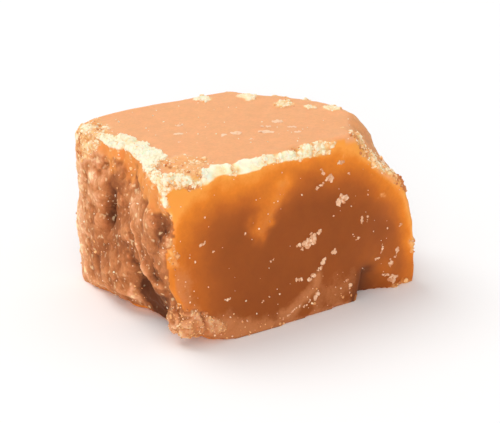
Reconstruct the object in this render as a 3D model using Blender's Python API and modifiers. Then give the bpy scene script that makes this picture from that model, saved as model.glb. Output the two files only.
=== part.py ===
"""A hand-cut block of jaggery, about 35 mm long, made of one solid.

The front, the top and the back were cut with a knife, so those sides are nearly flat.
The left end was snapped off. It is rough, with bites along its edges, a pit and hollows.
The front faces -Y, the snapped end faces -X and the block rests on a flat base at Z = 0.
"""

import math

import bmesh
import bpy
from mathutils import Matrix, Vector, noise

MM = 0.001

# The lump before its chips were lost.
HEIGHT = 20.5 * MM
BASE_LENGTH = 35.0 * MM
BASE_DEPTH = 24.2 * MM
FRONT_LEAN = 3.4 * MM  # how far the front's top edge stands behind its foot
RIGHT_LEAN = 3.1 * MM
BACK_SKEW = 2.0 * MM  # the back's left end stands this much farther back than its right end
SPARE_BELOW = 1.5 * MM  # the raw lump reaches this far under the base before it is cut flat
EDGE_ROUND = 1.0 * MM
EDGE_STEPS = 3
LEFT_BACK_ROUND = 2.6 * MM

# The size of the even faces that the relief is worked into, and how many are left after it.
VOXEL = 0.45 * MM
SOFTENING_PASSES = 4
TRIANGLES = 7600

# How the cut sides stray from flat.
BACK_BULGE = 0.5 * MM
RIGHT_BULGE = 0.80 * MM
RIGHT_BULGE_Z = 8.0 * MM  # the right end is fullest at this height
LEFT_BULGE = 0.35 * MM  # only towards the back, where the snapped end is nearly smooth
TOP_BULGE = 0.35 * MM
BACK_SWELL = 0.4 * MM  # the back is fullest near its left end
BACK_SWELL_X = -10.5 * MM
BACK_SWELL_REACH = 7.5 * MM
CUT_WAVE = 0.16 * MM
CUT_WAVE_LENGTH = 9.0 * MM

# The snapped end's lumps and pits, and the crumbs pushed up along the top's edges.
SNAPPED_DEPTH = 0.9 * MM
SNAPPED_GRAIN = 2.4 * MM
SNAPPED_REACH = 6.0 * MM  # how far in from the end the rough surface goes
SNAPPED_CALM_Y = 7.5 * MM  # past this, towards the back, the end broke nearly smooth
RIDGE_HEIGHT = 0.40 * MM
RIDGE_WIDTH = 1.3 * MM

JAGGERY_COLOUR = (0.58, 0.26, 0.075, 1.0)
JAGGERY_ROUGHNESS = 0.55

LEFT_X = -BASE_LENGTH / 2
RIGHT_X = BASE_LENGTH / 2
FRONT_Y = -12.4 * MM
BACK_Y = FRONT_Y + BASE_DEPTH


def clear_scene():
    for old in list(bpy.data.objects):
        bpy.data.objects.remove(old, do_unlink=True)


def new_collection(name):
    made = bpy.data.collections.new(name)
    bpy.context.scene.collection.children.link(made)
    return made


def move_to(obj, collection):
    for owner in list(obj.users_collection):
        owner.objects.unlink(obj)
    collection.objects.link(obj)


def smoothstep(low, high, value):
    share = min(1.0, max(0.0, (value - low) / (high - low)))
    return share * share * (3.0 - 2.0 * share)


def front_y(z):
    """Where the leaning front stands at height z."""
    return FRONT_Y + FRONT_LEAN * z / HEIGHT


def right_x(z):
    """Where the leaning right end stands at height z."""
    return RIGHT_X - RIGHT_LEAN * z / HEIGHT


def back_y(x):
    """Where the skewed back stands at x along the block."""
    return BACK_Y - BACK_SKEW * x / BASE_LENGTH


def jaggery_material():
    material = bpy.data.materials.new("jaggery")
    material.use_nodes = True
    shader = material.node_tree.nodes["Principled BSDF"]
    shader.inputs["Base Color"].default_value = JAGGERY_COLOUR
    shader.inputs["Roughness"].default_value = JAGGERY_ROUGHNESS
    shader.inputs["Metallic"].default_value = 0.0
    material.diffuse_color = JAGGERY_COLOUR
    return material


def raw_lump(collection):
    """A cube drawn in towards the top, with its upright and long edges rounded."""
    bpy.ops.mesh.primitive_cube_add(size=1.0)
    lump = bpy.context.active_object
    lump.name = "jaggery_block"
    move_to(lump, collection)

    shape = bmesh.new()
    shape.from_mesh(lump.data)
    for vertex in shape.verts:
        z = HEIGHT if vertex.co.z > 0 else -SPARE_BELOW
        x = right_x(z) if vertex.co.x > 0 else LEFT_X
        y = back_y(x) if vertex.co.y > 0 else front_y(z)
        vertex.co = (x, y, z)
    left_back = [
        edge
        for edge in shape.edges
        if all(vertex.co.x < 0 and vertex.co.y > 0 for vertex in edge.verts)
    ]
    bmesh.ops.bevel(
        shape,
        geom=left_back,
        offset=LEFT_BACK_ROUND,
        segments=EDGE_STEPS,
        profile=0.5,
        affect="EDGES",
    )
    shape.to_mesh(lump.data)
    shape.free()

    rounding = lump.modifiers.new("edge_round", "BEVEL")
    rounding.width = EDGE_ROUND
    rounding.segments = EDGE_STEPS
    rounding.limit_method = "ANGLE"
    rounding.angle_limit = math.radians(50)
    return lump


def as_helper(obj, name, collection):
    obj.name = name
    move_to(obj, collection)
    obj.hide_render = True
    obj.display_type = "WIRE"
    return obj


def boolean(target, helper, operation):
    step = target.modifiers.new(helper.name, "BOOLEAN")
    step.operation = operation
    step.solver = "EXACT"
    step.object = helper


def shave(lump, helpers, name, point, facing):
    """Takes off all that stands past a plane through point, leaving a facet that faces outward."""
    side = 60 * MM
    outward = Vector(facing).normalized()
    bpy.ops.mesh.primitive_cube_add(size=side)
    box = as_helper(bpy.context.active_object, name, helpers)
    turned = outward.to_track_quat("Z", "X").to_matrix().to_4x4()
    box.data.transform(Matrix.Translation(Vector(point) + outward * side / 2) @ turned)
    boolean(lump, box, "DIFFERENCE")


def egg(helpers, name, centre, radii, turn):
    bpy.ops.mesh.primitive_ico_sphere_add(subdivisions=4, radius=1.0)
    ball = as_helper(bpy.context.active_object, name, helpers)
    tilt = Matrix.Rotation(math.radians(turn), 4, "X")
    sized = Matrix.Diagonal((*radii, 1.0))
    ball.data.transform(Matrix.Translation(centre) @ tilt @ sized)
    return ball


def scoop(lump, helpers, name, centre, radii, turn=0.0):
    """A bite or hollow of an egg's shape. turn is in degrees about X."""
    boolean(lump, egg(helpers, name, centre, radii, turn), "DIFFERENCE")


def stick_on(lump, helpers, name, centre, radii):
    """A crumb pressed onto the lump."""
    boolean(lump, egg(helpers, name, centre, radii, 0.0), "UNION")


def shave_facets(lump, helpers):
    """The flat facets at the back, the right end and the foot."""
    shave(
        lump,
        helpers,
        "back_right_facet",
        (8.5 * MM, 6.2 * MM, HEIGHT),
        (0.75, 0.62, 0.23),
    )
    shave(
        lump,
        helpers,
        "top_right_facet",
        (12.3 * MM, front_y(16 * MM), 16 * MM),
        (0.62, -0.36, 0.57),
    )
    shave(
        lump,
        helpers,
        "top_corner_facet",
        (12.3 * MM, -0.4 * MM, HEIGHT),
        (0.55, 0.12, 0.83),
    )
    shave(
        lump,
        helpers,
        "left_undercut",
        (LEFT_X + 4.0 * MM, -6.5 * MM, 0.0),
        (-0.83, -0.19, -0.52),
    )
    shave(
        lump,
        helpers,
        "left_front_foot",
        (LEFT_X + 5.2 * MM, FRONT_Y + 1.9 * MM, 0.0),
        (-0.50, -0.60, -0.62),
    )
    shave(
        lump,
        helpers,
        "low_front_facet",
        (3.5 * MM, front_y(5.2 * MM), 5.2 * MM),
        (0.082, -0.996, 0.047),
    )


def break_edges(lump, helpers):
    """The bites and pits of the snapped end, and chips elsewhere."""
    scoop(
        lump,
        helpers,
        "top_left_break",
        (LEFT_X - 2.1 * MM, 1.0 * MM, HEIGHT - 0.8 * MM),
        (4.0 * MM, 8.6 * MM, 9.6 * MM),
    )
    scoop(
        lump,
        helpers,
        "high_edge_bite",
        (LEFT_X - 1.9 * MM, front_y(15.6 * MM) + 0.6 * MM, 15.6 * MM),
        (3.0 * MM, 2.6 * MM, 2.5 * MM),
    )
    scoop(
        lump,
        helpers,
        "low_edge_bite",
        (LEFT_X - 1.4 * MM, front_y(9.0 * MM) + 0.7 * MM, 9.0 * MM),
        (2.4 * MM, 2.2 * MM, 2.8 * MM),
    )
    scoop(
        lump,
        helpers,
        "long_pit",
        (LEFT_X - 0.5 * MM, 3.9 * MM, 12.6 * MM),
        (2.3 * MM, 1.5 * MM, 4.2 * MM),
        turn=8.0,
    )
    scoop(
        lump,
        helpers,
        "ledge_hollow",
        (LEFT_X - 0.9 * MM, -4.6 * MM, 4.8 * MM),
        (3.0 * MM, 4.6 * MM, 3.0 * MM),
        turn=22.0,
    )
    scoop(
        lump,
        helpers,
        "back_chip",
        (-4.0 * MM, BACK_Y + 2.2 * MM, HEIGHT + 0.9 * MM),
        (4.4 * MM, 2.0 * MM, 1.6 * MM),
    )
    scoop(
        lump,
        helpers,
        "back_foot_chip",
        (5.0 * MM, BACK_Y + 0.9 * MM, 1.8 * MM),
        (5.0 * MM, 1.9 * MM, 3.0 * MM),
    )
    scoop(
        lump,
        helpers,
        "right_foot_chip",
        (RIGHT_X + 0.5 * MM, 1.0 * MM, 0.8 * MM),
        (2.0 * MM, 4.4 * MM, 3.2 * MM),
    )


def cut_notch(lump, helpers):
    """A wedge lost from the right of the front's foot, with a sharp lip on its left."""
    lip_x = 8.2 * MM
    centre = Vector((8.8 * MM, FRONT_Y + 0.1 * MM, 0.0))
    ball = egg(helpers, "foot_notch", centre, (5.8 * MM, 2.9 * MM, 4.6 * MM), 0.0)
    for vertex in ball.data.vertices:
        slant = 0.10 * (vertex.co.z - centre.z)
        vertex.co.x = max(vertex.co.x, lip_x + slant)
    weld_flat_side(ball)
    boolean(lump, ball, "DIFFERENCE")


def weld_flat_side(ball):
    """Wraps a shape again, so that the side pressed flat has no folded faces."""
    shape = bmesh.new()
    shape.from_mesh(ball.data)
    hull = bmesh.ops.convex_hull(shape, input=shape.verts)
    loose = [item for item in hull["geom_interior"] if isinstance(item, bmesh.types.BMVert)]
    bmesh.ops.delete(shape, geom=loose, context="VERTS")
    shape.to_mesh(ball.data)
    shape.free()


def press_foot_crumbs(lump, helpers):
    """Crumbs pressed together at the foot of the front left corner."""
    foot = Vector((LEFT_X + 3.6 * MM, FRONT_Y + 2.4 * MM, 3.2 * MM))
    stick_on(
        lump,
        helpers,
        "foot_crumb_large",
        foot,
        (2.7 * MM, 2.0 * MM, 2.2 * MM),
    )
    stick_on(
        lump,
        helpers,
        "foot_crumb_low",
        foot + Vector((2.4, -0.3, -1.9)) * MM,
        (2.1 * MM, 1.5 * MM, 1.5 * MM),
    )
    stick_on(
        lump,
        helpers,
        "foot_crumb_high",
        foot + Vector((-1.2, -0.2, 2.2)) * MM,
        (1.5 * MM, 1.4 * MM, 1.6 * MM),
    )


def apply_modifiers(obj):
    bpy.context.view_layer.update()
    graph = bpy.context.evaluated_depsgraph_get()
    finished = bpy.data.meshes.new_from_object(obj.evaluated_get(graph))
    obj.modifiers.clear()
    obj.data = finished


def remesh(lump):
    """Even small faces all over, so that the relief can be worked into them."""
    grid = lump.modifiers.new("even_faces", "REMESH")
    grid.mode = "VOXEL"
    grid.voxel_size = VOXEL
    soften = lump.modifiers.new("soften", "SMOOTH")
    soften.factor = 0.5
    soften.iterations = SOFTENING_PASSES
    apply_modifiers(lump)


def snapped_share(point, normal):
    """1 on the snapped left end, 0 on the cut sides, with a ragged border."""
    ragged = 0.18 * noise.noise(point / (2.2 * MM))
    facing = smoothstep(0.25, 0.60, ragged - normal.x)
    return facing * smoothstep(LEFT_X + SNAPPED_REACH, LEFT_X + 0.7 * SNAPPED_REACH, point.x)


def snapped_relief(point):
    """Lumps and pits, as height above the snapped end's mean surface."""
    coarse = noise.fractal(point / (2.2 * SNAPPED_GRAIN), 1.0, 2.1, 3)
    nearest = noise.voronoi(point / SNAPPED_GRAIN)[0][0]
    depth = SNAPPED_DEPTH * (1.0 - 0.75 * smoothstep(0.5 * SNAPPED_CALM_Y, SNAPPED_CALM_Y, point.y))
    return depth * (0.8 * coarse + 0.7 * (0.45 - nearest))


def ridge_relief(point):
    """Crumbs raised along the top's front and left edges."""
    to_front = abs(point.y - front_y(point.z) - 0.4 * RIDGE_WIDTH)
    to_left = abs(point.x - LEFT_X - 0.4 * RIDGE_WIDTH)
    share = smoothstep(RIDGE_WIDTH, 0.0, min(to_front, to_left))
    share *= smoothstep(HEIGHT - 2.4 * MM, HEIGHT - 0.4 * MM, point.z)
    patchy = 0.55 + 0.75 * noise.noise(point / (1.6 * MM))
    return RIDGE_HEIGHT * share * patchy


def bulge(point, normal):
    """The sides and the top are a little fuller in the middle than at their edges."""
    along = max(0.0, 1.0 - (2.0 * point.x / BASE_LENGTH) ** 2)
    across = max(0.0, 1.0 - (2.0 * point.y / BASE_DEPTH) ** 2)
    up = max(0.0, 1.0 - (2.0 * point.z / HEIGHT - 1.0) ** 2)
    swell = max(0.0, 1.0 - ((point.x - BACK_SWELL_X) / BACK_SWELL_REACH) ** 2)
    back = (BACK_BULGE * along + BACK_SWELL * swell) * smoothstep(0.1, 0.9, normal.y)
    low = max(0.0, 1.0 - (point.z / RIGHT_BULGE_Z - 1.0) ** 2)
    right = RIGHT_BULGE * low * smoothstep(0.1, 0.7, normal.x)
    left = LEFT_BULGE * up * smoothstep(0.1, 0.7, -normal.x) * smoothstep(0.0, SNAPPED_CALM_Y, point.y)
    top = TOP_BULGE * along * across * smoothstep(0.1, 0.9, normal.z)
    return back + right + left + top


def work_relief(lump):
    """Moves each point along its normal by what its place on the block calls for."""
    mesh = lump.data
    normals = [vertex.normal.copy() for vertex in mesh.vertices]
    for vertex, normal in zip(mesh.vertices, normals):
        point = vertex.co.copy()
        snapped = snapped_share(point, normal)
        wave = CUT_WAVE * noise.noise(point / CUT_WAVE_LENGTH)
        height = (1.0 - snapped) * wave + snapped * snapped_relief(point)
        height += ridge_relief(point) + bulge(point, normal)
        vertex.co = point + height * normal
    mesh.update()


def lighten(lump):
    """Fewer, larger faces where the block is plain."""
    faces = sum(len(polygon.vertices) - 2 for polygon in lump.data.polygons)
    thin = lump.modifiers.new("fewer_faces", "DECIMATE")
    thin.decimate_type = "COLLAPSE"
    thin.ratio = min(1.0, TRIANGLES / faces)
    apply_modifiers(lump)


def cut_base(lump, helpers):
    """The flat face that the block rests on."""
    shave(lump, helpers, "base_cut", (0.0, 0.0, 0.0), (0.0, 0.0, -1.0))
    apply_modifiers(lump)


def centre_over_origin(lump):
    """The middle of the block's own box stands over the origin."""
    xs = [vertex.co.x for vertex in lump.data.vertices]
    ys = [vertex.co.y for vertex in lump.data.vertices]
    middle = Vector(((min(xs) + max(xs)) / 2, (min(ys) + max(ys)) / 2, 0.0))
    lump.data.transform(Matrix.Translation(-middle))


def finish(lump):
    lump.data.materials.clear()
    lump.data.materials.append(jaggery_material())
    lump.data.shade_smooth()
    lump.data.set_sharp_from_angle(angle=math.radians(60))


def build():
    clear_scene()
    parts = new_collection("jaggery_block")
    helpers = new_collection("cutters_and_crumbs")
    lump = raw_lump(parts)
    shave_facets(lump, helpers)
    break_edges(lump, helpers)
    cut_notch(lump, helpers)
    press_foot_crumbs(lump, helpers)
    remesh(lump)
    work_relief(lump)
    lighten(lump)
    cut_base(lump, helpers)
    centre_over_origin(lump)
    finish(lump)


build()
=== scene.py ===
"""A hand-cut block of jaggery: its sugary body, the crumbs on its edges and its stage."""

import math

import bpy
import numpy as np
from mathutils import Matrix, Vector, noise
from mathutils.bvhtree import BVHTree


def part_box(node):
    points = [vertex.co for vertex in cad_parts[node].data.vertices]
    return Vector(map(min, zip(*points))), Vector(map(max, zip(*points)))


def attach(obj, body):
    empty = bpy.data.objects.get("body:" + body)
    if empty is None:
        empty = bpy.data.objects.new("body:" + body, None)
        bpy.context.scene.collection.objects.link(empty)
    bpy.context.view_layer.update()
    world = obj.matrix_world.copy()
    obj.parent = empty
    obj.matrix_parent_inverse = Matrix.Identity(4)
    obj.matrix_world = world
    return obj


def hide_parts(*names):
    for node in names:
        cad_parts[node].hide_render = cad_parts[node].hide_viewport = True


bl_info = {
    "name": "Jaggery Block",
    "version": (1, 0, 0),
    "blender": (4, 5, 0),
    "location": "View3D > Sidebar > Jaggery",
    "description": "Makes a hand-cut block of jaggery with crumbly edges",
    "category": "Add Mesh",
}

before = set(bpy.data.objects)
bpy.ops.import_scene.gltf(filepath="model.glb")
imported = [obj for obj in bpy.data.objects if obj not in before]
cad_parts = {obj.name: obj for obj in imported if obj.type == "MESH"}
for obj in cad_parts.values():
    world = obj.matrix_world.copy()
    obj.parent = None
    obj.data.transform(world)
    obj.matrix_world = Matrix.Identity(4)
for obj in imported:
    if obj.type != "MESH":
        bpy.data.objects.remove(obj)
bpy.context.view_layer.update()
NODE = "jaggery_block"
LOW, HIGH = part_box(NODE)
MM = 0.001


# Settings


def length(name, description, default):
    return bpy.props.FloatProperty(
        name=name,
        description=description,
        default=default,
        min=0.0,
        precision=5,
        unit="LENGTH",
    )


def colour(name, description, default):
    return bpy.props.FloatVectorProperty(
        name=name,
        description=description,
        default=default,
        size=3,
        min=0.0,
        max=1.0,
        subtype="COLOR",
    )


def angle(name, description, degrees):
    return bpy.props.FloatProperty(
        name=name,
        description=description,
        default=math.radians(degrees),
        unit="ROTATION",
    )


def number(name, description, default):
    return bpy.props.IntProperty(name=name, description=description, default=default, min=0)


class JaggeryBodySettings(bpy.types.PropertyGroup):
    grid: length("Grid", "Size of the even faces on the cut sides", 0.31 * MM)
    fullness: length("Fullness", "How far the body is swelled before its relief", 0.05 * MM)
    snapped_depth: length("Snapped Depth", "How deep the snapped end's relief is", 0.46 * MM)
    crust_depth: length("Crust Depth", "How far the crumbly edges stand out", 0.40 * MM)
    cut_wave: length("Cut Wave", "How far the cut sides stray from flat", 0.07 * MM)
    crest_rise: length("Crest Rise", "How far the right corner's crest stands out", 0.55 * MM)
    heart: colour("Heart", "Colour inside the cut sides", (0.300, 0.071, 0.009))
    # these four colours, from caramel to honey, are painted light coming through the edges, faint
    # to strongest
    caramel: colour("Caramel", "Colour a few millimetres from an edge", (0.405, 0.099, 0.012))
    amber: colour("Amber", "Colour nearer to an edge", (0.56, 0.143, 0.013))
    glow: colour("Glow", "Colour where light comes through an edge", (0.79, 0.235, 0.018))
    honey: colour("Honey", "Colour of the very edge", (0.92, 0.36, 0.06))
    # painted light: the top's colour is paler and pinker for the brighter light from above and its
    # sheen, as well as for its dry bloom
    bloom_and_top_light: colour("Bloom", "Colour of the dry top", (0.86, 0.40, 0.185))
    # toffee, the bottom of the crumbs' colours, is partly painted shade between the crumbs
    toffee: colour("Toffee", "Colour deep between the crumbs of the edges", (0.86, 0.34, 0.085))
    peach: colour("Peach", "Colour of the browner crumbs of the edges", (0.96, 0.54, 0.22))
    crust: colour("Crust", "Colour of the crumbly edges", (1.0, 0.77, 0.45))
    cream: colour("Cream", "Colour of the palest crumbs", (1.0, 0.92, 0.69))
    # painted shade: the darkest colour, in the snapped end's hollows and in the notch
    hollow_shade: colour("Hollow", "Colour deep in the snapped end", (0.13, 0.036, 0.011))
    flesh: colour("Flesh", "Colour of the snapped end", (0.40, 0.125, 0.038))
    # grain and peak, on the snapped end's raised parts, are partly painted highlights
    grain: colour("Grain", "Colour of the snapped end's raised parts", (0.62, 0.235, 0.085))
    peak: colour("Peak", "Colour of the snapped end's peaks", (0.86, 0.42, 0.22))
    # painted light coming through the snapped end below the crust
    under: colour("Under", "Colour of the snapped end under the crust", (0.90, 0.33, 0.08))
    roughness: bpy.props.FloatProperty(
        name="Roughness",
        description="Roughness of the cut sides",
        default=0.46,
        min=0.0,
        max=1.0,
        subtype="FACTOR",
    )


class JaggeryCrumbSettings(bpy.types.PropertyGroup):
    crumbs: number("Crumbs", "How many crumbs stick to the edges", 2300)
    grains: number("Grains", "How many sugar grains lie on the block", 1140)
    crumb_size: length("Crumb Size", "Middle size of a crumb", 0.32 * MM)
    grain_size: length("Grain Size", "Middle size of a sugar grain", 0.16 * MM)
    cream: colour("Cream", "Colour of the palest crumbs", (1.0, 0.90, 0.67))
    peach: colour("Peach", "Colour of the browner crumbs", (0.98, 0.55, 0.23))
    brown: colour("Brown", "Colour of the brownest crumbs", (0.62, 0.21, 0.065))
    pale_flake: colour("Pale Flake", "Colour of the palest flakes", (0.97, 0.64, 0.42))
    brown_flake: colour("Brown Flake", "Colour of the brownest flakes", (0.66, 0.27, 0.115))


class JaggeryStageSettings(bpy.types.PropertyGroup):
    azimuth: angle("Azimuth", "The camera's angle round the block", -31.6)
    elevation: angle("Elevation", "The camera's angle above the floor", 24.5)
    distance: length("Distance", "How far the camera stands from the block", 0.303)
    lens: bpy.props.FloatProperty(
        name="Lens",
        description="The camera's focal length in millimetres",
        default=180.0,
        min=1.0,
    )
    floor: colour("Floor", "Colour of the floor", (0.97, 0.965, 0.96))


# Working with meshes


def deselect_all():
    if bpy.context.mode != "OBJECT":
        bpy.ops.object.mode_set(mode="OBJECT")
    bpy.ops.object.select_all(action="DESELECT")


def pick(obj):
    """Makes obj the one selected, active object."""
    deselect_all()
    obj.select_set(True)
    bpy.context.view_layer.objects.active = obj


def new_object(name, mesh):
    made = bpy.data.objects.new(name, mesh)
    bpy.context.scene.collection.objects.link(made)
    pick(made)
    return made


def apply_modifier(obj, kind, **settings):
    pick(obj)
    step = obj.modifiers.new(kind.lower(), kind)
    for name, value in settings.items():
        setattr(step, name, value)
    bpy.ops.object.modifier_apply(modifier=step.name)


def read_all(items, name, width, kind=np.float32):
    """One property of all the vertices, edges or faces given, a row for each."""
    flat = np.empty(len(items) * width, kind)
    items.foreach_get(name, flat)
    return flat.reshape(-1, width)


def points_of(mesh):
    return read_all(mesh.vertices, "co", 3).astype(float)


def normals_of(mesh):
    return read_all(mesh.vertices, "normal", 3).astype(float)


def edges_of(mesh):
    return read_all(mesh.edges, "vertices", 2, np.int32)


def set_points(mesh, points):
    mesh.vertices.foreach_set("co", points.astype(np.float32).ravel())
    mesh.update()


def set_values(mesh, name, values):
    layer = mesh.attributes.get(name) or mesh.attributes.new(name, "FLOAT", "POINT")
    layer.data.foreach_set("value", np.asarray(values, np.float32))


def values_of(mesh, name):
    return read_all(mesh.attributes[name].data, "value", 1)[:, 0].astype(float)


def zones_of(mesh, *names):
    return [values_of(mesh, name) for name in names]


def step_up(low, high, values):
    """0 below low, 1 above high, and a smooth rise between them. low may be above high."""
    share = np.clip((values - low) / (high - low), 0.0, 1.0)
    return share * share * (3.0 - 2.0 * share)


def relaxed(values, edges, passes):
    """Rows of values after each has moved half way to its neighbours' middle, passes times."""
    total = len(values)
    first, second = edges.T
    neighbours = np.bincount(edges.ravel(), minlength=total)
    values = values.astype(float)
    for _ in range(passes):
        for axis in range(values.shape[1]):
            column = values[:, axis]
            gathered = np.bincount(first, column[second], total)
            gathered += np.bincount(second, column[first], total)
            values[:, axis] = 0.5 * column + 0.5 * gathered / neighbours
    return values


def edge_height(points, normals, edges, passes):
    """How far each point stands out of its relaxed surface, in millimetres."""
    soft = relaxed(points, edges, passes)
    return ((points - soft) * normals).sum(axis=1) / MM


def rim_distance(inside, edges, grid, passes):
    """Millimetres to the rim of a zone, above 0 inside it, true for about two spreads."""
    spread = 0.5 * grid / MM * math.sqrt(passes)
    share = relaxed(inside[:, None], edges, passes)[:, 0]
    share = np.clip(share, 0.01, 0.99)
    return spread / 1.7 * np.log(share / (1.0 - share))


def line_distance(points, line):
    """Distance of 2D points to a line through a few corners, and the share of the way along."""
    ends = np.array(line, float)
    nearest = np.full(len(points), np.inf)
    along = np.zeros(len(points))
    for index, (start, end) in enumerate(zip(ends[:-1], ends[1:])):
        way = end - start
        share = np.clip((points - start) @ way / (way @ way), 0.0, 1.0)
        gap = np.linalg.norm(points - start - share[:, None] * way, axis=1)
        closer = gap < nearest
        nearest[closer] = gap[closer]
        along[closer] = (index + share[closer]) / (len(ends) - 1)
    return nearest, along


def spread_out(points, size, shift):
    """The points counted in steps of size millimetres, and shifted so that patterns differ."""
    scale = 1.0 / (size * MM)
    moved = Vector((shift, 2.3 * shift, -1.7 * shift))
    return [Vector(point) * scale + moved for point in points]


def lumps(points, size, shift, octaves=1):
    """Noise from about -1 to 1 at each point, with lumps of the given size in millimetres."""
    places = spread_out(points, size, shift)
    if octaves == 1:
        return np.array([noise.noise(place) for place in places])
    return np.array([noise.fractal(place, 0.9, 2.1, octaves) for place in places])


def cells(points, size, shift):
    """Distances to the nearest and the second nearest cell middle, in cells of a size."""
    pairs = [noise.voronoi(place)[0][:2] for place in spread_out(points, size, shift)]
    return np.array(pairs).reshape(-1, 2).T


# three noises, far enough from each other to give a facet's tilt along x, y and z
TILT_SHIFTS = (Vector((9.3, -1.5, -8.0)), Vector((0.0, 0.0, 0.0)), Vector((6.3, 0.2, -2.7)))


def chipped(points, size, shift):
    """Small tilted facets, as where sugar breaks, from about -1 to 1."""
    rises = []
    for place in spread_out(points, size, shift):
        middle = noise.voronoi(place)[1][0]
        tilt = Vector([noise.noise(middle * 3.7 + away) for away in TILT_SHIFTS])
        rises.append(0.9 * tilt.x + 1.3 * (place - middle).dot(tilt))
    return np.array(rises)


# Materials


class Socket:
    """A value in a material. Arithmetic on it adds Math nodes."""

    def __init__(self, tree, output=None):
        self.tree = tree
        self.output = output

    def node(self, kind, settings=None, inputs=None, output=0):
        """Any node: settings are its own properties, inputs are values or other sockets."""
        made = self.tree.nodes.new("ShaderNode" + kind)
        for name, value in (settings or {}).items():
            if name == "stops":
                ramp_stops(made.color_ramp, value)
            else:
                setattr(made, name, value)
        for name, value in (inputs or {}).items():
            if isinstance(value, Socket):
                self.tree.links.new(value.output, made.inputs[name])
            else:
                made.inputs[name].default_value = value
        return Socket(self.tree, made.outputs[output])

    def maths(self, operation, *values):
        inputs = dict(enumerate(values))
        return self.node("Math", {"operation": operation}, inputs)

    def __add__(self, other):
        return self.maths("ADD", self, other)

    __radd__ = __add__

    def __mul__(self, other):
        return self.maths("MULTIPLY", self, other)

    __rmul__ = __mul__

    def __sub__(self, other):
        return self.maths("SUBTRACT", self, other)

    def __rsub__(self, other):
        return self.maths("SUBTRACT", other, self)

    def between(self, low, high):
        """0 below low, 1 above high, smooth between."""
        settings = {"interpolation_type": "SMOOTHSTEP"}
        inputs = {"Value": self, "From Min": low, "From Max": high}
        return self.node("MapRange", settings, inputs)

    def mixed(self, first, second):
        """The first colour where this value is 0, the second where it is 1."""
        settings = {"data_type": "RGBA"}
        inputs = {0: self, 6: first, 7: second}
        return self.node("Mix", settings, inputs, output=2)

    def feed(self, shader, name):
        self.tree.links.new(self.output, shader.inputs[name])


def ramp_stops(ramp, stops):
    while len(ramp.elements) > len(stops):
        ramp.elements.remove(ramp.elements[-1])
    while len(ramp.elements) < len(stops):
        ramp.elements.new(1.0)
    for element, (place, value) in zip(ramp.elements, stops):
        element.position = place
        element.color = value


def opaque(value):
    return (*value, 1.0)


def tinted(value, factor):
    return tuple(min(1.0, channel * factor) for channel in value) + (1.0,)


def new_material(name):
    material = bpy.data.materials.new(name)
    material.use_nodes = True
    tree = material.node_tree
    shader = tree.nodes["Principled BSDF"]
    return material, tree, shader


def noise_at(base, place, size, detail=2.0, roughness=0.5):
    """A noise of lumps of the given size in millimetres, from 0 to 1."""
    inputs = {"Vector": place, "Scale": 1.0 / (size * MM), "Detail": detail, "Roughness": roughness}
    return base.node("TexNoise", {}, inputs)


def cells_at(base, place, size):
    """The distance to the middles of cells of the given size in millimetres, in cells."""
    return base.node("TexVoronoi", {}, {"Vector": place, "Scale": 1.0 / (size * MM)})


def ramp_at(base, value, *stops):
    """A colour that runs through the stops, each a place from 0 to 1 and a colour."""
    settings = {"stops": [(place, opaque(shade)) for place, shade in stops]}
    return base.node("ValToRGB", settings, {"Fac": value})


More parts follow.
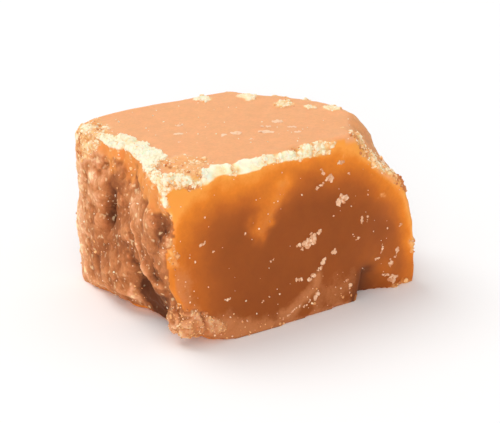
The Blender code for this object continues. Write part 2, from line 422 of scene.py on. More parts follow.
def body_material(settings):
    """Waxy cut sugar: brown heart, painted light glowing through the edges, a top painted paler for
    its light and sheen as well as dry, cream crust, and a broken end with painted shade and
    highlights.
    """
    material, tree, shader = new_material("jaggery_body")
    base = Socket(tree)
    place = base.node("TexCoord", output="Object")

    def value(name):
        return base.node("Attribute", {"attribute_name": name}, output="Fac")

    crust, snapped, glow = value("crust"), value("snapped"), value("glow")
    fine_rise, broad_rise = value("fine_rise"), value("broad_rise")
    broad = noise_at(base, place, 6.0, 3.0)
    middle = noise_at(base, place, 1.6, 4.0, 0.6)
    fine = noise_at(base, place, 0.35, 3.0, 0.6)
    grain = cells_at(base, place, 0.42)

    # the cut sides: brown, with painted light glowing through their edges
    lit = 0.06 + glow + (middle - 0.5) * 0.26 + (broad - 0.5) * 0.26 + (fine - 0.5) * 0.10
    sides = ramp_at(
        base,
        lit,
        (0.0, settings.heart),
        (0.35, settings.caramel),
        (0.60, settings.amber),
        (0.85, settings.glow),
        (1.0, settings.honey),
    )
    # the top: painted paler and pinker for the brighter light from above and its sheen, and dry
    dry_and_lit_top = (middle * 0.5 + fine * 0.5).between(0.30, 0.70).mixed(
        tinted(settings.bloom_and_top_light, 0.94), tinted(settings.bloom_and_top_light, 1.06)
    )
    cut = value("topside").mixed(sides, dry_and_lit_top)
    # the snapped end: painted shade in its hollows and painted highlights on its raised parts, over
    # its own tones, with painted light under the crust and painted glints of broken sugar
    rise = 0.40 + fine_rise * 0.12 + broad_rise * 0.20 + value("tone")
    rise = rise + (fine - 0.5) * 0.28 + (middle - 0.5) * 0.45
    broken = ramp_at(
        base,
        rise,
        (0.0, settings.hollow_shade),
        (0.38, settings.flesh),
        (0.62, settings.grain),
        (0.88, settings.peak),
        (1.0, settings.crust),
    )
    under = (glow + (middle - 0.5) * 0.7).between(0.2, 0.9) * 0.85
    broken = under.mixed(broken, opaque(settings.under))
    glints = noise_at(base, place, 0.62, 1.0) + value("tone") * 0.10
    broken = (glints.between(0.60, 0.76) * 0.50).mixed(broken, opaque(settings.crust))
    surface = snapped.mixed(cut, broken)
    # sugar scraped over the foot with a painted highlight on the notch's lip, and painted shade in
    # the notch
    smear = (value("smear") + (fine - 0.5) * 0.5).between(0.15, 1.1) * 0.8
    surface = smear.mixed(surface, opaque(settings.grain))
    surface = value("recess").mixed(surface, opaque(settings.hollow_shade))
    # the crumbly edges: their own tones, with painted highlight where they stand out and painted
    # shade between the crumbs
    creamy = 0.5 + value("rind") + (fine - 0.5) * 0.35 + (middle - 0.5) * 0.8 + fine_rise * 0.24
    crumbly = ramp_at(
        base,
        creamy,
        (0.0, settings.toffee),
        (0.30, settings.peach),
        (0.62, settings.crust),
        (0.95, settings.cream),
    )
    surface = (crust + (fine - 0.5) * 0.4).between(0.08, 0.85).mixed(surface, crumbly)
    surface.feed(shader, "Base Color")

    rough = settings.roughness + 0.14 * middle + 0.25 * crust + 0.22 * snapped
    rough = rough + 0.10 * value("topside")
    rough.feed(shader, "Roughness")

    grainy = (crust + snapped).between(0.0, 1.0)
    relief = (fine * 0.6 + (1.0 - grain) * 0.5) * (grainy * 0.8 + 0.05) + middle * 0.12
    bump = base.node("Bump", {}, {"Strength": 0.4, "Distance": 0.08 * MM, "Height": relief})
    bump.feed(shader, "Normal")
    soften(shader, 0.7, 0.7 * MM)
    return material


def soften(shader, weight, scale):
    """Light goes a little way into sugar, red farthest."""
    shader.inputs["Subsurface Weight"].default_value = weight
    shader.inputs["Subsurface Radius"].default_value = (1.0, 0.62, 0.42)
    shader.inputs["Subsurface Scale"].default_value = scale
    shader.inputs["IOR"].default_value = 1.45
    shader.inputs["Specular IOR Level"].default_value = 0.2


def crumb_material(name, shades, size):
    """Sugar crumbs of several shades, from brown to pale."""
    material, tree, shader = new_material(name)
    base = Socket(tree)
    place = base.node("TexCoord", output="Object")
    tint = base.node("Attribute", {"attribute_name": "tint"}, output="Fac")
    fine = noise_at(base, place, size, 3.0, 0.6)
    shade = (tint + (fine - 0.5) * 0.5).between(0.0, 1.0)
    places = np.linspace(0.0, 1.0, len(shades))
    body = ramp_at(base, shade, *zip(places, shades))
    body.feed(shader, "Base Color")
    rough = 0.55 + 0.25 * fine
    rough.feed(shader, "Roughness")
    bump = base.node("Bump", {}, {"Strength": 0.5, "Distance": 0.05 * MM, "Height": fine})
    bump.feed(shader, "Normal")
    soften(shader, 0.15, 0.10 * MM)
    return material


# The block's body

# Places on the block, in millimetres. An oval has its middle, then its reach each way.
FRONT_FOOT = 12.73  # how far forward the front's foot lies
FRONT_LEAN = 0.166  # how far the front leans back for each millimetre up
MILKY_STREAK = ((-1.1, 16.9), (-2.3, 14.8), (-3.2, 13.8), (-4.5, 12.2))  # x, z on the front
STREAKS = (  # streaks of painted light: x, z on the front, then how wide it starts, how wide it ends and how bright it is
    (((-2.6, 16.8), (-3.6, 14.8), (-4.8, 12.6)), 3.2, 1.2, 0.74),
    (MILKY_STREAK, 1.1, 0.9, 0.84),
    (((12.2, 3.4), (14.0, 3.0)), 2.6, 2.6, 0.52),
)
BACK_PATCHES = (  # x, y, reach on the top
    (0.0, 10.1, 1.4),
    (4.9, 7.9, 1.4),
    (7.3, 3.1, 1.5),
    (9.6, 1.0, 0.8),
    (11.8, -0.8, 1.3),
    (-16.6, 9.4, 1.1),
)
RIDGE = ((-2.0, 13.2), (-2.6, 12.0), (-4.2, 9.0), (-7.0, 8.0), (-9.6, 6.9))  # y, z on the end
SCRAPE = ((2.7, 4.9), (2.0, 3.4), (0.0, 2.1), (-2.3, 1.0), (-5.0, 0.4))  # x, z on the front
RUBBED = (4.8, 1.9, 4.4, 3.1)  # an oval in x and z, on the front beside the notch
SHADED = (9.3, 1.4, 2.7, 3.4)  # an oval in x and z, in the notch, of painted shade
NOTCH_LIP = 8.0  # x
FOOT_LUMPS = ((-14.8, -11.0, 2.9, 2.6), (-12.0, -12.2, 2.3, 1.4))  # x, y, z, reach
FOOT_CREVICE = ((-13.5, 4.4), (-13.1, 2.8), (-12.9, 0.4))  # x, z on the front
FOOT_SHINES = ((-14.0, 4.8, 1.1), (-12.2, 2.6, 1.0))  # painted highlights: x, z on the front, reach
CREST = (14.6, -3.7, 18.3)  # x, y, z
POROUS_CORNER = (-12.3, -6.6, 3.1, 3.5)  # an oval in x and y, on the top
THICK_BEAD = (-9.9, -9.4, 2.0)  # x, y, reach
BEADS = (THICK_BEAD, (-5.4, -9.4, 2.0))
FAR_CRUMBS = (9.0, 19.4, 2.8)  # y, z on the snapped end, reach
END_TONES = (  # an oval in y and z on the snapped end, and how much paler it is there: the end's own tones together with painted shade and painted highlights
    (2.8, 12.8, 1.9, 4.2, -0.16),
    (-4.4, 2.8, 2.9, 3.4, -0.80),
    (-9.2, 13.8, 1.4, 1.7, -0.26),
    (-7.8, 6.0, 1.6, 3.0, -0.40),
    (-1.6, 6.6, 1.3, 2.4, -0.16),
    (-1.6, 15.0, 2.8, 2.2, 0.30),
    (-3.6, 11.7, 1.3, 2.0, 0.20),
    (10.6, 11.0, 3.2, 14.0, 0.38),
    (6.3, 15.4, 1.7, 1.2, 0.30),
    (6.4, 13.0, 1.5, 1.5, 0.30),
    (7.0, 18.0, 2.6, 2.2, 0.34),
    (4.9, 16.6, 1.0, 0.9, 0.30),
    (3.8, 9.4, 1.2, 0.8, 0.18),
    (8.3, 7.5, 1.7, 0.5, 0.30),
    (-1.2, 2.6, 0.8, 1.6, 0.42),
    (6.8, 1.4, 3.0, 1.4, 0.14),
)


def body_core(settings):
    """A merged copy of the CAD solid, wrapped in small even faces and freed of its facets."""
    core = new_object("jaggery_body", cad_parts[NODE].data.copy())
    core.data.materials.clear()
    bpy.ops.object.mode_set(mode="EDIT")
    bpy.ops.mesh.select_all(action="SELECT")
    bpy.ops.mesh.remove_doubles(threshold=0.001 * MM)
    bpy.ops.object.mode_set(mode="OBJECT")
    apply_modifier(core, "REMESH", mode="VOXEL", voxel_size=settings.grid)
    apply_modifier(core, "SMOOTH", factor=0.5, iterations=4)
    apply_modifier(core, "DISPLACE", strength=settings.fullness, mid_level=0.0)
    return core


def near_places(points, places, ragged):
    """1 within reach of one of the places, each a middle and a reach, ragged at its rim."""
    found = np.zeros(len(points))
    for *middle, reach in places:
        gap = np.linalg.norm(points[:, : len(middle)] - middle, axis=1)
        found = np.maximum(found, step_up(1.05, 0.75, gap / reach + ragged))
    return found


def oval_gap(across, up, oval):
    """How far points are from an oval's middle: 0 there and 1 on its rim."""
    middle_across, middle_up, reach_across, reach_up = oval
    return np.hypot((across - middle_across) / reach_across, (up - middle_up) / reach_up)


class Survey:
    """The body's points before their relief: where they are, how they face, and noise."""

    def __init__(self, mesh, grid):
        self.points, self.edges, self.grid = points_of(mesh), edges_of(mesh), grid
        normals = normals_of(mesh)
        self.spots = self.points / MM
        self.x, self.y, self.z = self.spots.T
        self.depth = HIGH.z / MM - self.z
        self.facing = relaxed(normals, self.edges, 10)
        self.sharp = edge_height(self.points, normals, self.edges, 45)
        self.ragged = lumps(self.points, 1.5, 4.0, 2)
        self.patchy = lumps(self.points, 3.6, 9.0, 2)
        self.from_top = self.rim(self.facing[:, 2] > 0.62)
        self.on_front = step_up(0.35, 0.75, -self.facing[:, 1])
        self.inset = self.y + FRONT_FOOT - FRONT_LEAN * self.z

    def rim(self, inside, passes=170):
        return rim_distance(inside, self.edges, self.grid, passes)

    def from_end(self):
        """Distance from the snapped end's rim, above 0 on the end."""
        return self.rim((self.facing[:, 0] < -0.62) & (self.x < -9.0))

    def from_front(self):
        """Distance from the front's rim, above 0 on the front."""
        return self.rim(self.facing[:, 1] < -0.72)

    def cut_depth(self):
        """Distance from a cut side's rims, those along the base left out."""
        base = self.facing[:, 2] < -0.6
        front = self.facing[:, 1] < -0.55
        right = (self.facing[:, 0] > 0.55) & ~front
        back = (self.facing[:, 1] > 0.5) & ~right
        depths = [self.rim(side | base, 700) for side in (front, right, back)]
        return np.select([front, right, back], depths, 0.0)


def snapped_zone(survey, from_end):
    """The snapped end, the worn right end and the foot's crumbs, and how pale they are, partly with
    painted shade and highlights.
    """
    x, y, z, ragged = survey.x, survey.y, survey.z, survey.ragged
    wrap = 1.1 * step_up(13.5, 11.5, z) * step_up(-6.0, -8.0, y)
    snapped = step_up(-0.25, 0.55, from_end - wrap + 0.45 * ragged) * step_up(-8.5, -11.0, x)
    from_right = survey.rim((survey.facing[:, 0] > 0.55) & (x > 7.0))
    worn = step_up(-0.5, 0.7, from_right + 0.5 * ragged) * 0.45
    foot = near_places(survey.spots, FOOT_LUMPS, 0.5 * ragged)
    tone = np.zeros(len(x))
    for *oval, paler in END_TONES:
        tone += paler * step_up(1.25, 0.35, oval_gap(y, z, oval) + 0.35 * ragged)
    tone = np.where(x < 0.0, tone, 0.10)
    # painted highlights on the foot's lumps
    shine = near_places(survey.spots[:, ::2], FOOT_SHINES, 0.5 * ragged)
    tone = tone * (1.0 - foot) + foot * (0.04 + 0.12 * survey.patchy + 0.36 * shine)
    return np.max([snapped, worn, foot], axis=0), tone, foot


def crust_zone(survey, from_end, foot):
    """How thickly crumbs cover the edges, how creamy they are and where they are melted."""
    x, y, z, from_top = survey.x, survey.y, survey.z, survey.from_top
    ragged, patchy, from_above = survey.ragged, survey.patchy, survey.spots[:, :2]
    left = step_up(-10.5, -13.0, x) * step_up(7.4, 5.0, y)
    left *= 1.0 - 0.75 * step_up(-3.5, -6.0, y)
    front = step_up(-4.5, -7.5, y)
    spare = front * step_up(4.0, 8.0, x)
    deep = front * step_up(-9.5, -11.5, x)

    # how far the crust reaches over the top's rim and below it, in millimetres
    thick = near_places(from_above, [THICK_BEAD], 0.25 * ragged)
    over = 0.06 + 0.70 * front + 2.40 * left - 0.35 * spare - 0.60 * deep + 0.80 * thick
    below = 0.06 + 1.00 * front + 0.70 * left * (1.0 - front) - 0.45 * spare + 0.5 * deep
    wander = (0.28 + 0.26 * np.maximum(left, front)) * (1.0 * patchy + 0.9 * ragged)
    wide = np.where(from_top > 0.0, over, below) + wander
    rim = step_up(0.0, -0.45, abs(from_top) - np.maximum(wide, 0.0)) * (wide > 0.05)
    under = step_up(0.0, 0.7, from_end) * step_up(0.0, -0.3, from_top)
    rim *= 1.0 - under * step_up(-2.5, -4.5, y)

    # the porous corner, the patches along the back and the crumbs at the far end of the rim
    bead = near_places(from_above, BEADS, 0.25 * ragged)
    corner = oval_gap(x, y, POROUS_CORNER) + 0.30 * ragged + 0.5 * bead
    porous = step_up(1.10, 0.75, corner) * step_up(-1.6, -0.6, from_top)
    inside = porous * step_up(-1.1, -0.3, from_top) * step_up(1.1, 0.8, corner)
    patches = near_places(from_above, BACK_PATCHES, 0.35 * ragged)
    patches *= step_up(-0.6, 0.0, from_top)
    far = near_places(survey.spots[:, 1:], [FAR_CRUMBS], 0.5 * ragged)
    far *= step_up(-13.0, -15.0, x)

    # the front's upright edge on the left, and the seam and the specks on the right
    midway = step_up(14.4, 13.4, z)
    off_edge = abs(from_end) - 0.38 - 0.35 * midway - 0.4 * ragged - 0.2 * patchy
    upright = step_up(0.0, -0.30, off_edge)
    upright *= front * np.maximum(step_up(15.4, 16.6, z), 0.5 * midway * step_up(9.5, 11.0, z))
    chamfer = (survey.facing[:, 0] > 0.30) & (survey.facing[:, 2] > 0.30) & (x > 8.0)
    seam = step_up(1.9, 0.9, abs(survey.from_front() + 0.8) + 0.5 * ragged) * chamfer
    specks = step_up(0.30, 0.50, survey.sharp + 0.45 * patchy + 0.45 * ragged)
    specks *= step_up(5.0, 9.0, x)
    specks *= 0.6 + 0.4 * step_up(13.0, 17.0, z)
    coats = (rim * (1.0 - 0.6 * inside), 0.42 * porous, 0.7 * patches, 0.50 * far)
    coats += (0.85 * upright, 0.75 * seam, 0.75 * specks)
    crust = np.max(coats, axis=0) * (1.0 - foot)

    # creamier where it is melted or thick, browner below the rim, far away and in the corner
    smooth = step_up(-5.5, -3.5, x) * step_up(4.0, 0.0, x) * step_up(-0.3, 0.2, patchy)
    bead = np.max([bead, 0.7 * front * smooth, 0.7 * patches], axis=0)
    rind = -0.07 + 0.42 * patchy + 0.45 * left + 0.32 * bead
    lower = 0.40 * step_up(-0.4, -1.6, from_top) * front
    lower += 0.10 * deep * step_up(0.0, -0.8, from_top)
    rind += 0.20 * patches - 0.32 * far - lower * (1.0 - 0.8 * upright * (1.0 - midway))
    rind = rind * (1.0 - inside) + inside * (-0.50 + 0.40 * patchy)
    rind += 0.07 * step_up(8.0, 11.0, x) - 0.15 * step_up(-1.0, 2.0, x)
    return crust, rind, bead


def painted_glow_zone(survey, snapped):
    """Painted light through the edges of the cut sides, streaks of it, and some under the crust."""
    x, z, ragged, patchy, depth = survey.x, survey.z, survey.ragged, survey.patchy, survey.depth
    # the painted light is brightest along the rims and high up, and fades over some millimetres
    inward = np.maximum(survey.cut_depth(), 0.0)
    high = step_up(11.0, 16.0, z)
    strength = 0.63 + 0.21 * high * (1.0 - 0.6 * step_up(3.0, 12.0, x)) + 0.10 * patchy
    reach = 7.8 + 1.4 * high + 1.4 * step_up(3.0, -6.0, x) - 2.2 * step_up(6.0, 13.0, x)
    reach += 0.8 * patchy + 0.5 * ragged
    strength += 0.10 * step_up(9.0, 13.0, x) * (1.0 - high) - 0.06 * high * step_up(-6.0, -12.0, x)
    brim = 0.34 - 0.20 * step_up(13.0, 9.0, z) * step_up(-9.0, -12.0, x)
    glow = brim * np.exp(-inward / 0.6) + strength * step_up(reach, 0.3, inward)
    # a band of painted light under the top's left part, and streaks that run down from it
    band = step_up(5.6, 3.0, depth + 1.0 * patchy + 0.4 * ragged) * step_up(1.0, -4.5, x)
    glow += 0.10 * band * survey.on_front
    for line, starts, ends, bright in STREAKS:
        gap, along = line_distance(np.stack((x, z), axis=1), line)
        gap = np.maximum(gap + 0.8 * ragged + 0.6 * patchy, 0.0)
        streak = np.exp(-((gap / (starts + (ends - starts) * along)) ** 2))
        level = bright - 0.16 * along
        glow += np.maximum(level - glow, 0.0) * streak * survey.on_front
    # on the snapped end, painted light only under the crust
    lower = 1.2 * step_up(-1.0, -4.0, survey.y)
    under = step_up(4.6, 1.2, depth - lower + 1.6 * patchy + 1.2 * ragged)
    under *= step_up(9.0, 5.0, survey.y)
    return np.where(snapped > 0.5, under, glow)


def smear_and_highlight_zone(survey):
    """Pale sugar scraped over the front's foot and left edge and rubbed round the notch, and a
    painted highlight along the notch's lip.
    """
    x, z, ragged = survey.x, survey.z, survey.ragged
    front_spots = np.stack((x, z), axis=1)
    gap, _ = line_distance(front_spots, SCRAPE)
    scrape = 0.90 * step_up(1.65, 0.0, gap + 0.7 * ragged)
    high = np.clip(3.4 - 0.36 * (x + 12.0), 0.9, 3.4)
    foot = 1.0 * step_up(high + 2.2, high - 1.6, z + 1.2 * ragged + 0.8 * survey.patchy)
    foot *= step_up(-0.5, -4.0, x)
    rubbed = 0.60 * step_up(1.2, 0.3, oval_gap(x, z, RUBBED) + 0.4 * ragged)
    rubbed *= step_up(NOTCH_LIP + 1.0, NOTCH_LIP, x)
    side = 0.75 * step_up(-13.4, -15.8, x + 1.0 * ragged) * step_up(12.0, 8.5, z)
    gap, _ = line_distance(front_spots, MILKY_STREAK)
    streak = 0.42 * np.exp(-((gap / 1.1) ** 2))
    edge = 0.80 * step_up(0.9, 0.2, z + 0.5 * ragged)
    edge *= step_up(NOTCH_LIP + 0.3, NOTCH_LIP - 0.5, x)
    # a painted highlight along the notch's lip
    lip = 0.7 * step_up(0.9, 0.2, abs(x - NOTCH_LIP)) * step_up(5.0, 4.2, z)
    lip *= step_up(0.7, 0.2, survey.inset)
    return np.max([scrape, foot, rubbed, side, streak, edge, lip], axis=0) * survey.on_front


def recess_shade_zone(survey):
    """Painted shade in the notch's inside, and a patch of painted shade beside its lip."""
    x = survey.x
    inside = step_up(0.2, 0.9, survey.inset) * step_up(6.5, 4.0, survey.z)
    inside *= 0.85 * step_up(NOTCH_LIP - 1.0, NOTCH_LIP, x) * step_up(13.5, 9.5, x)
    shaded = oval_gap(x, survey.z, SHADED) + 0.2 * survey.ragged
    shaded = 0.65 * step_up(1.1, 0.4, shaded) * step_up(NOTCH_LIP, NOTCH_LIP + 0.4, x)
    return np.maximum(inside, shaded) * step_up(-5.0, -7.0, survey.y)


def mark_zones(mesh, grid):
    """Writes on the body where it is snapped, crumbly, melted or smeared, where painted light shows
    through it, where the notch has painted shade, and where its top is dry and painted paler for
    its light and sheen.
    """
    survey = Survey(mesh, grid)
    from_end = survey.from_end()
    snapped, tone, foot = snapped_zone(survey, from_end)
    crust, rind, bead = crust_zone(survey, from_end, foot)
    # faces turned up from here get the top's colour, painted paler for its light and sheen
    top_light_from = np.where(survey.x > 8.0, 0.26, 0.55)
    zones = {
        "snapped": snapped,
        "tone": tone,
        "foot": foot,
        "crust": crust,
        "rind": rind,
        "bead": bead,
        "glow": painted_glow_zone(survey, snapped),
        "smear": smear_and_highlight_zone(survey),
        "recess": recess_shade_zone(survey),
        "topside": step_up(top_light_from, top_light_from + 0.28, survey.facing[:, 2]),
    }
    for name, values in zones.items():
        set_values(mesh, name, values)


def refine(obj, names, least):
    """Halves the faces of the zones that carry the finest relief."""
    mesh = obj.data
    chosen = np.max(zones_of(mesh, *names), axis=0) > least
    corners = read_all(mesh.loops, "vertex_index", 1, np.int32)[:, 0]
    starts = read_all(mesh.polygons, "loop_start", 1, np.int32)[:, 0]
    selected = np.add.reduceat(chosen[corners].astype(int), starts) > 0
    pick(obj)
    bpy.ops.object.mode_set(mode="EDIT")
    bpy.ops.mesh.select_mode(type="FACE")
    bpy.ops.mesh.select_all(action="DESELECT")
    bpy.ops.object.mode_set(mode="OBJECT")
    mesh.polygons.foreach_set("select", selected)
    bpy.ops.object.mode_set(mode="EDIT")
    bpy.ops.mesh.subdivide(number_cuts=1, smoothness=0.0)
    bpy.ops.object.mode_set(mode="OBJECT")


def snapped_relief(points, foot):
    """Upright folds and chips, with grains here and there and a ridge, from about -1 to 1."""
    upright = points * (1.0, 1.0, 0.62)
    coarse = lumps(upright, 3.2, 7.0, 3)
    folds = 1.0 - 2.0 * abs(lumps(upright, 2.4, 8.0))
    chips = chipped(points, 1.5, 1.0)
    grainy = np.maximum(step_up(-0.10, 0.50, lumps(points, 2.6, 2.0)), foot)
    grain_near, _ = cells(points, 0.75, 3.0)
    small_near, _ = cells(points, 0.42, 5.0)
    clod_near, clod_next = cells(points, 1.7, 8.0)
    gap, along = line_distance(points[:, 1:] / MM, RIDGE)
    ridge = np.exp(-((gap / 0.40) ** 2)) * step_up(0.0, 0.1, along) * step_up(1.0, 0.85, along)
    ridge *= points[:, 0] < 0.0
    rise = 0.85 * coarse + 0.28 * folds + 0.26 * chips + 0.8 * ridge
    grains = (0.10 + 0.45 * grainy) * (0.5 - grain_near)
    rise += grains + (0.08 + 0.20 * grainy) * (0.45 - small_near)
    crevices = step_up(0.28, 0.0, clod_next - clod_near)
    crack, _ = line_distance(points[:, ::2] / MM, FOOT_CREVICE)
    crack = np.exp(-((crack / 0.28) ** 2))
    return rise * (1.0 - 0.5 * foot) + foot * (0.7 - 0.6 * crevices - 1.8 * crack)


def crust_relief(points, bead):
    """Crumbs pressed together, in places melted into a bead, from about 0 to 1."""
    crumb_near, _ = cells(points, 0.95, 0.5)
    small_near, _ = cells(points, 0.42, 2.5)
    rise = 0.30 + 0.75 * lumps(points, 1.7, 6.5, 2)
    crumbs = 0.9 * (0.55 - crumb_near) + 0.4 * (0.5 - small_near)
    crumbs += 0.45 * chipped(points, 0.8, 3.5)
    return rise + 0.25 * bead + (1.0 - 0.8 * bead) * crumbs


def work_relief(mesh, settings):
    """Pushes the body's points out by each zone's relief, and writes how far each stands out."""
    points, normals, edges = points_of(mesh), normals_of(mesh), edges_of(mesh)
    snapped, crust, foot, bead = zones_of(mesh, "snapped", "crust", "foot", "bead")
    height = settings.cut_wave * lumps(points, 7.0, 3.0, 2)
    height += 0.35 * settings.cut_wave * lumps(points, 1.5, 1.2, 2)
    rough = snapped > 0.01
    broken = snapped_relief(points[rough], foot[rough])
    height[rough] += settings.snapped_depth * snapped[rough] * broken
    from_crest = np.linalg.norm(points / MM - CREST, axis=1)
    height += settings.crest_rise * np.exp(-((from_crest / 2.6) ** 2))
    crumbly = crust > 0.01
    crumbs = crust_relief(points[crumbly], bead[crumbly])
    height[crumbly] += settings.crust_depth * crust[crumbly] * crumbs
    soft = relaxed(normals, edges, 3)
    soft /= np.linalg.norm(soft, axis=1, keepdims=True)
    points = points + soft * height[:, None]
    points[:, 2] = np.maximum(points[:, 2], LOW.z)
    set_points(mesh, points)
    normals = normals_of(mesh)
    for name, passes, usual in (("fine_rise", 14, 0.10), ("broad_rise", 260, 0.45)):
        rise = edge_height(points, normals, edges, passes) / usual
        set_values(mesh, name, np.clip(rise, -1.5, 1.5))


class JAGGERY_OT_body(bpy.types.Operator):
    """Make the block's body, with its cut sides, its snapped end and its crumbly edges"""

    bl_idname = "jaggery.body"
    bl_label = "Body"

    def execute(self, context):
        settings = context.scene.jaggery_body
        body = body_core(settings)
        mark_zones(body.data, settings.grid)
        refine(body, ("snapped", "crust"), 0.25)
        work_relief(body.data, settings)
        pick(body)
        bpy.ops.object.shade_smooth()
        body.data.materials.append(body_material(settings))
        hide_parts(NODE)
        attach(body, "root")
        return {"FINISHED"}


# Crumbs, flakes and grains

MOST_CHIP_FACES = 56
LARGEST_CHIP = 2.0  # times the middle size
SHARP_EDGE = math.radians(45)


def chip_form(seed, flatness, subdivisions=2):
    """A small broken chip, a ball with a few sides struck off: its points and its faces."""
    rng = np.random.default_rng(seed)
    deselect_all()
    bpy.ops.mesh.primitive_ico_sphere_add(subdivisions=subdivisions, radius=0.5)
    chip = bpy.context.active_object
    bpy.ops.object.mode_set(mode="EDIT")
    for _ in range(4):
        facing = Vector(rng.normal(size=3)).normalized()
        bpy.ops.mesh.select_all(action="SELECT")
        bpy.ops.mesh.bisect(
            plane_co=facing * rng.uniform(0.22, 0.38),
            plane_no=facing,
            use_fill=True,
            clear_outer=True,
        )
    bpy.ops.object.mode_set(mode="OBJECT")
    points = points_of(chip.data)
    points += 0.05 * rng.normal(size=points.shape)
    points[:, 2] *= flatness
    set_points(chip.data, points)
    apply_modifier(chip, "TRIANGULATE")
    apply_modifier(chip, "DECIMATE", ratio=min(1.0, MOST_CHIP_FACES / len(chip.data.polygons)))
    faces = np.array([polygon.vertices[:] for polygon in chip.data.polygons])
    form = (points_of(chip.data), faces)
    bpy.data.objects.remove(chip)
    return form


def joined_copies(name, forms, places, turns, sizes, tints, rng):
    """One mesh of many small copies of a few forms, each browner towards its foot: painted shade.
    """
    all_points, all_faces, all_tints = [], [], []
    start = 0
    for place, turn, size, tint in zip(places, turns, sizes, tints):
        points, faces = forms[rng.integers(len(forms))]
        moved = (points * size) @ np.array(turn).T + place
        all_points.append(moved)
        all_faces.append(faces + start)
        # painted shade: each copy browner towards its foot, paler away from it
        all_tints.append(tint + 0.8 * points[:, 2])
        start += len(points)
    mesh = bpy.data.meshes.new(name)
    mesh.from_pydata(np.concatenate(all_points), [], np.concatenate(all_faces))
    mesh.update()
    set_values(mesh, "tint", np.concatenate(all_tints))
    return new_object(name, mesh)


def surface_samples(mesh, weights, count, rng):
    """Random points on the mesh drawn by area and weight, their normals, and the corners near."""
    mesh.calc_loop_triangles()
    corners = read_all(mesh.loop_triangles, "vertices", 3, np.int32)
    points, normals = points_of(mesh), normals_of(mesh)
    a, b, c = (points[corners[:, k]] for k in range(3))
    areas = np.linalg.norm(np.cross(b - a, c - a), axis=1) * weights[corners].mean(axis=1)
    chosen = rng.choice(len(corners), size=count, p=areas / areas.sum())
    u, v = rng.random((2, count, 1))
    over = u + v > 1.0
    u, v = np.where(over, 1.0 - u, u), np.where(over, 1.0 - v, v)
    places = a[chosen] + u * (b - a)[chosen] + v * (c - a)[chosen]
    facing = normals[corners[chosen]].mean(axis=1)
    facing /= np.linalg.norm(facing, axis=1, keepdims=True)
    return places, facing, corners[chosen]


def turned_to(facing, spin, tilt):
    """A rotation that takes +Z to facing, with a spin about it and a small tilt."""
    return (
        Vector(facing).to_track_quat("Z", "Y").to_matrix()
        @ Matrix.Rotation(spin, 3, "Z")
        @ Matrix.Rotation(tilt, 3, "X")
    )


def scattered(name, forms, mesh, weights, count, middle, spread, sink, tint, scale, rng):
    """Copies scattered over the mesh by weight, pressed into it by a share of their size."""
    places, facing, near = surface_samples(mesh, weights, count, rng)
    sizes = middle * np.minimum(np.exp(spread * rng.normal(size=count)), LARGEST_CHIP)
    sizes *= scale[near].mean(axis=1)
    turns = [turned_to(f, rng.uniform(0, math.tau), rng.normal() * 0.5) for f in facing]
    scales = sizes[:, None] * (1.0 + 0.35 * rng.uniform(-1, 1, (count, 3)))
    places = places + facing * (sizes * (0.5 - sink))[:, None] * 0.6
    tints = tint[near].mean(axis=1) + 0.16 * rng.normal(size=count)
    return joined_copies(name, forms, places, turns, scales, tints, rng)


def keep_above_floor(obj):
    points = points_of(obj.data)
    points[:, 2] = np.maximum(points[:, 2], LOW.z)
    set_points(obj.data, points)


def finish_piece(obj, material):
    keep_above_floor(obj)
    obj.data.materials.append(material)
    pick(obj)
    bpy.ops.object.shade_smooth_by_angle(angle=SHARP_EDGE)
    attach(obj, "root")


def body_object():
    return bpy.data.objects["jaggery_body"]


class JAGGERY_OT_crumbs(bpy.types.Operator):
    """Scatter crumbs along the crumbly edges and round the foot"""

    bl_idname = "jaggery.crumbs"
    bl_label = "Crumbs"

    def execute(self, context):
        settings = context.scene.jaggery_crumbs
        rng = np.random.default_rng(11)
        mesh = body_object().data
        forms = [chip_form(seed, 0.75) for seed in range(5)]
        crust, foot, bead, rind = zones_of(mesh, "crust", "foot", "bead", "rind")
        smear, snapped = zones_of(mesh, "smear", "snapped")
        clumps = 0.15 + step_up(-0.2, 0.5, lumps(points_of(mesh), 1.3, 12.0, 2))
        weights = crust**2 * (1.0 - 0.92 * bead) + 0.45 * foot + 0.08 * smear**2
        weights = weights * clumps + 0.0015 * snapped
        made = scattered(
            "edge_crumbs",
            forms,
            mesh,
            weights,
            settings.crumbs,
            settings.crumb_size,
            spread=0.50,
            sink=0.62,
            tint=np.where(crust > 0.2, 0.60 + 0.9 * rind, 0.14),
            scale=1.0 - 0.48 * np.maximum(foot, smear),
            rng=rng,
        )
        shades = (settings.brown, settings.peach, settings.cream)
        finish_piece(made, crumb_material("crumb_sugar", shades, 0.3))
        return {"FINISHED"}


